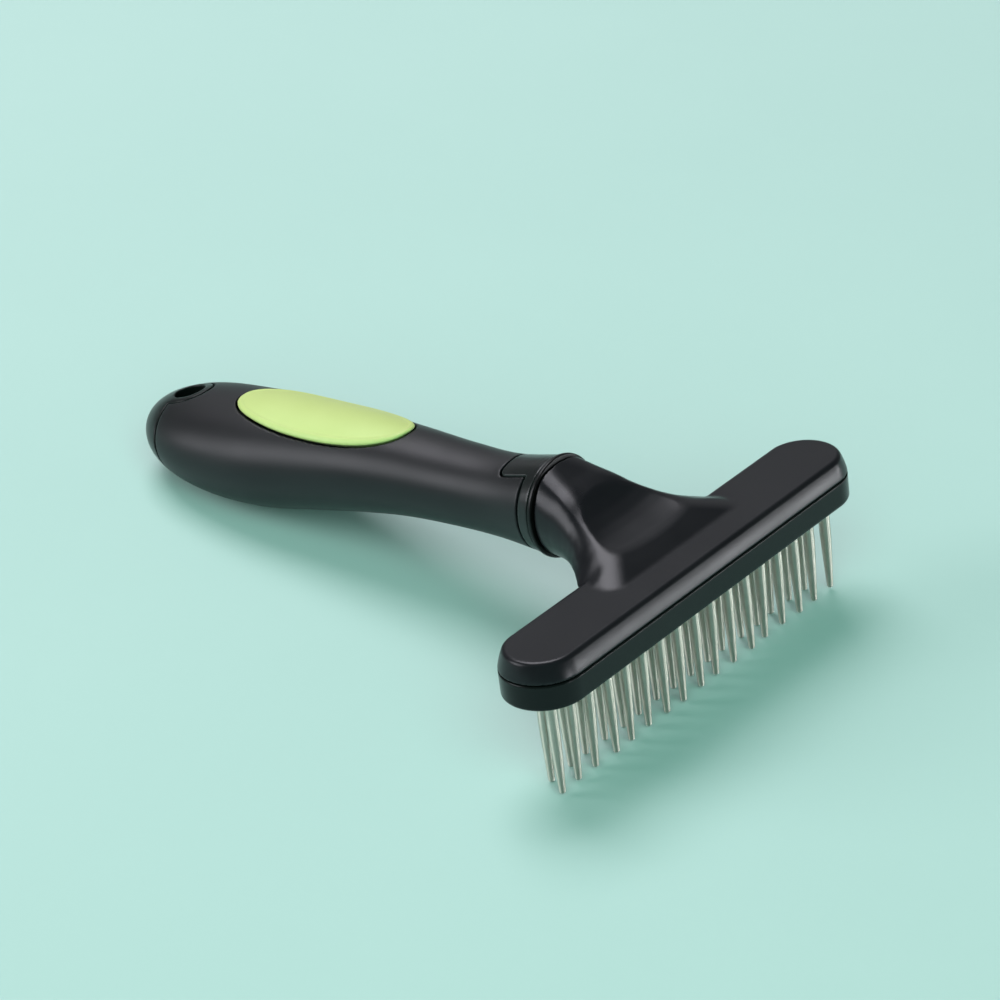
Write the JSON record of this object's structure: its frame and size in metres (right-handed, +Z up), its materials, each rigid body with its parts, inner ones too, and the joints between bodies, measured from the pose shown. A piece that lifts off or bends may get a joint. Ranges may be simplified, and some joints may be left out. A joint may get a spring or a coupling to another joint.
{
  "type": "undercoat rake",
  "caption": "T-shaped pet grooming rake with two staggered rows of turning steel pins, a flared neck and a soft-grip handle with an oval thumb pad and a hang hole.",
  "frame": {"origin": "on the surface that the rake lies on, under the middle of its bounding box", "axes": "+Z up, +X along the T head, +Y from the head towards the tail of the handle; the rake lies as it was set down, on the tips of its back row of pins and the belly of its handle, so the head leans by 8.6 degrees"},
  "size_m": [0.11, 0.1582, 0.0425],
  "materials": {
    "head_plastic": "satin moulded black plastic with a fine spark texture",
    "base_plastic": "satin moulded black plastic",
    "collar_plastic": "semi-gloss black plastic",
    "grip_rubber": "soft matt over-moulded grip",
    "pad_rubber": "soft lime green inlay",
    "inner_plastic": "plain moulded plastic, not seen",
    "pin_steel": "polished stainless steel"
  },
  "bodies": {
    "rake_body": {"head_shell": "head_plastic", "base_plate": "base_plastic", "pin_retainer": "inner_plastic", "neck_ring": "collar_plastic", "handle_core": "collar_plastic", "end_cap": "collar_plastic", "grip_sleeve": "grip_rubber", "thumb_pad": "pad_rubber", "tang_pin": "pin_steel"},
    "front_pin_01": {"front_pin_01": "pin_steel"},
    "front_pin_02": {"front_pin_02": "pin_steel"},
    "front_pin_03": {"front_pin_03": "pin_steel"},
    "front_pin_04": {"front_pin_04": "pin_steel"},
    "front_pin_05": {"front_pin_05": "pin_steel"},
    "front_pin_06": {"front_pin_06": "pin_steel"},
    "front_pin_07": {"front_pin_07": "pin_steel"},
    "front_pin_08": {"front_pin_08": "pin_steel"},
    "front_pin_09": {"front_pin_09": "pin_steel"},
    "front_pin_10": {"front_pin_10": "pin_steel"},
    "front_pin_11": {"front_pin_11": "pin_steel"},
    "front_pin_12": {"front_pin_12": "pin_steel"},
    "front_pin_13": {"front_pin_13": "pin_steel"},
    "front_pin_14": {"front_pin_14": "pin_steel"},
    "front_pin_15": {"front_pin_15": "pin_steel"},
    "front_pin_16": {"front_pin_16": "pin_steel"},
    "front_pin_17": {"front_pin_17": "pin_steel"},
    "back_pin_01": {"back_pin_01": "pin_steel"},
    "back_pin_02": {"back_pin_02": "pin_steel"},
    "back_pin_03": {"back_pin_03": "pin_steel"},
    "back_pin_04": {"back_pin_04": "pin_steel"},
    "back_pin_05": {"back_pin_05": "pin_steel"},
    "back_pin_06": {"back_pin_06": "pin_steel"},
    "back_pin_07": {"back_pin_07": "pin_steel"},
    "back_pin_08": {"back_pin_08": "pin_steel"},
    "back_pin_09": {"back_pin_09": "pin_steel"},
    "back_pin_10": {"back_pin_10": "pin_steel"},
    "back_pin_11": {"back_pin_11": "pin_steel"},
    "back_pin_12": {"back_pin_12": "pin_steel"},
    "back_pin_13": {"back_pin_13": "pin_steel"},
    "back_pin_14": {"back_pin_14": "pin_steel"},
    "back_pin_15": {"back_pin_15": "pin_steel"},
    "back_pin_16": {"back_pin_16": "pin_steel"}
  },
  "joints": [
    {"name": "front_pin_01_turn", "type": "hinge", "parent": "rake_body", "child": "front_pin_01", "pos_m": [-0.048, -0.07231, 0.0233], "axis": [-0.0102, 0.1578, 0.9874], "continuous": true},
    {"name": "front_pin_02_turn", "type": "hinge", "parent": "rake_body", "child": "front_pin_02", "pos_m": [-0.042, -0.07231, 0.0233], "axis": [-0.0005, 0.1415, 0.9899], "continuous": true},
    {"name": "front_pin_03_turn", "type": "hinge", "parent": "rake_body", "child": "front_pin_03", "pos_m": [-0.036, -0.07231, 0.0233], "axis": [0.011, 0.1433, 0.9896], "continuous": true},
    {"name": "front_pin_04_turn", "type": "hinge", "parent": "rake_body", "child": "front_pin_04", "pos_m": [-0.03, -0.07231, 0.0233], "axis": [-0.0157, 0.1592, 0.9871], "continuous": true},
    {"name": "front_pin_05_turn", "type": "hinge", "parent": "rake_body", "child": "front_pin_05", "pos_m": [-0.024, -0.07231, 0.0233], "axis": [0.0121, 0.1532, 0.9881], "continuous": true},
    {"name": "front_pin_06_turn", "type": "hinge", "parent": "rake_body", "child": "front_pin_06", "pos_m": [-0.018, -0.07231, 0.0233], "axis": [-0.0022, 0.1389, 0.9903], "continuous": true},
    {"name": "front_pin_07_turn", "type": "hinge", "parent": "rake_body", "child": "front_pin_07", "pos_m": [-0.012, -0.07231, 0.0233], "axis": [-0.0089, 0.1486, 0.9889], "continuous": true},
    {"name": "front_pin_08_turn", "type": "hinge", "parent": "rake_body", "child": "front_pin_08", "pos_m": [-0.006, -0.07231, 0.0233], "axis": [0.0153, 0.1604, 0.9869], "continuous": true},
    {"name": "front_pin_09_turn", "type": "hinge", "parent": "rake_body", "child": "front_pin_09", "pos_m": [0, -0.07231, 0.0233], "axis": [-0.0137, 0.1477, 0.9889], "continuous": true},
    {"name": "front_pin_10_turn", "type": "hinge", "parent": "rake_body", "child": "front_pin_10", "pos_m": [0.006, -0.07231, 0.0233], "axis": [0.0049, 0.1391, 0.9903], "continuous": true},
    {"name": "front_pin_11_turn", "type": "hinge", "parent": "rake_body", "child": "front_pin_11", "pos_m": [0.012, -0.07231, 0.0233], "axis": [0.0065, 0.154, 0.988], "continuous": true},
    {"name": "front_pin_12_turn", "type": "hinge", "parent": "rake_body", "child": "front_pin_12", "pos_m": [0.018, -0.07231, 0.0233], "axis": [-0.0144, 0.1587, 0.9872], "continuous": true},
    {"name": "front_pin_13_turn", "type": "hinge", "parent": "rake_body", "child": "front_pin_13", "pos_m": [0.024, -0.07231, 0.0233], "axis": [0.0148, 0.1426, 0.9897], "continuous": true},
    {"name": "front_pin_14_turn", "type": "hinge", "parent": "rake_body", "child": "front_pin_14", "pos_m": [0.03, -0.07231, 0.0233], "axis": [-0.0074, 0.1421, 0.9898], "continuous": true},
    {"name": "front_pin_15_turn", "type": "hinge", "parent": "rake_body", "child": "front_pin_15", "pos_m": [0.036, -0.07231, 0.0233], "axis": [-0.0039, 0.1583, 0.9874], "continuous": true},
    {"name": "front_pin_16_turn", "type": "hinge", "parent": "rake_body", "child": "front_pin_16", "pos_m": [0.042, -0.07231, 0.0233], "axis": [0.0132, 0.1547, 0.9879], "continuous": true},
    {"name": "front_pin_17_turn", "type": "hinge", "parent": "rake_body", "child": "front_pin_17", "pos_m": [0.048, -0.07231, 0.0233], "axis": [-0.0155, 0.1394, 0.9901], "continuous": true},
    {"name": "back_pin_01_turn", "type": "hinge", "parent": "rake_body", "child": "back_pin_01", "pos_m": [-0.045, -0.06749, 0.02258], "axis": [0.0102, 0.1578, 0.9874], "continuous": true},
    {"name": "back_pin_02_turn", "type": "hinge", "parent": "rake_body", "child": "back_pin_02", "pos_m": [-0.039, -0.06749, 0.02258], "axis": [-0.0156, 0.1554, 0.9877], "continuous": true},
    {"name": "back_pin_03_turn", "type": "hinge", "parent": "rake_body", "child": "back_pin_03", "pos_m": [-0.033, -0.06749, 0.02258], "axis": [0.0128, 0.1397, 0.9901], "continuous": true},
    {"name": "back_pin_04_turn", "type": "hinge", "parent": "rake_body", "child": "back_pin_04", "pos_m": [-0.027, -0.06749, 0.02258], "axis": [-0.0033, 0.1461, 0.9893], "continuous": true},
    {"name": "back_pin_05_turn", "type": "hinge", "parent": "rake_body", "child": "back_pin_05", "pos_m": [-0.021, -0.06749, 0.02258], "axis": [-0.008, 0.1602, 0.9871], "continuous": true},
    {"name": "back_pin_06_turn", "type": "hinge", "parent": "rake_body", "child": "back_pin_06", "pos_m": [-0.015, -0.06749, 0.02258], "axis": [0.015, 0.1502, 0.9885], "continuous": true},
    {"name": "back_pin_07_turn", "type": "hinge", "parent": "rake_body", "child": "back_pin_07", "pos_m": [-0.009, -0.06749, 0.02258], "axis": [-0.0142, 0.1387, 0.9902], "continuous": true},
    {"name": "back_pin_08_turn", "type": "hinge", "parent": "rake_body", "child": "back_pin_08", "pos_m": [-0.003, -0.06749, 0.02258], "axis": [0.0059, 0.1517, 0.9884], "continuous": true},
    {"name": "back_pin_09_turn", "type": "hinge", "parent": "rake_body", "child": "back_pin_09", "pos_m": [0.003, -0.06749, 0.02258], "axis": [0.0055, 0.1598, 0.9871], "continuous": true},
    {"name": "back_pin_10_turn", "type": "hinge", "parent": "rake_body", "child": "back_pin_10", "pos_m": [0.009, -0.06749, 0.02258], "axis": [-0.014, 0.1447, 0.9894], "continuous": true},
    {"name": "back_pin_11_turn", "type": "hinge", "parent": "rake_body", "child": "back_pin_11", "pos_m": [0.015, -0.06749, 0.02258], "axis": [0.0151, 0.1405, 0.99], "continuous": true},
    {"name": "back_pin_12_turn", "type": "hinge", "parent": "rake_body", "child": "back_pin_12", "pos_m": [0.021, -0.06749, 0.02258], "axis": [-0.0084, 0.1567, 0.9876], "continuous": true},
    {"name": "back_pin_13_turn", "type": "hinge", "parent": "rake_body", "child": "back_pin_13", "pos_m": [0.027, -0.06749, 0.02258], "axis": [-0.0028, 0.1568, 0.9876], "continuous": true},
    {"name": "back_pin_14_turn", "type": "hinge", "parent": "rake_body", "child": "back_pin_14", "pos_m": [0.033, -0.06749, 0.02258], "axis": [0.0125, 0.1405, 0.99], "continuous": true},
    {"name": "back_pin_15_turn", "type": "hinge", "parent": "rake_body", "child": "back_pin_15", "pos_m": [0.039, -0.06749, 0.02258], "axis": [-0.0156, 0.1446, 0.9894], "continuous": true},
    {"name": "back_pin_16_turn", "type": "hinge", "parent": "rake_body", "child": "back_pin_16", "pos_m": [0.045, -0.06749, 0.02258], "axis": [0.0105, 0.1598, 0.9871], "continuous": true}
  ]
}
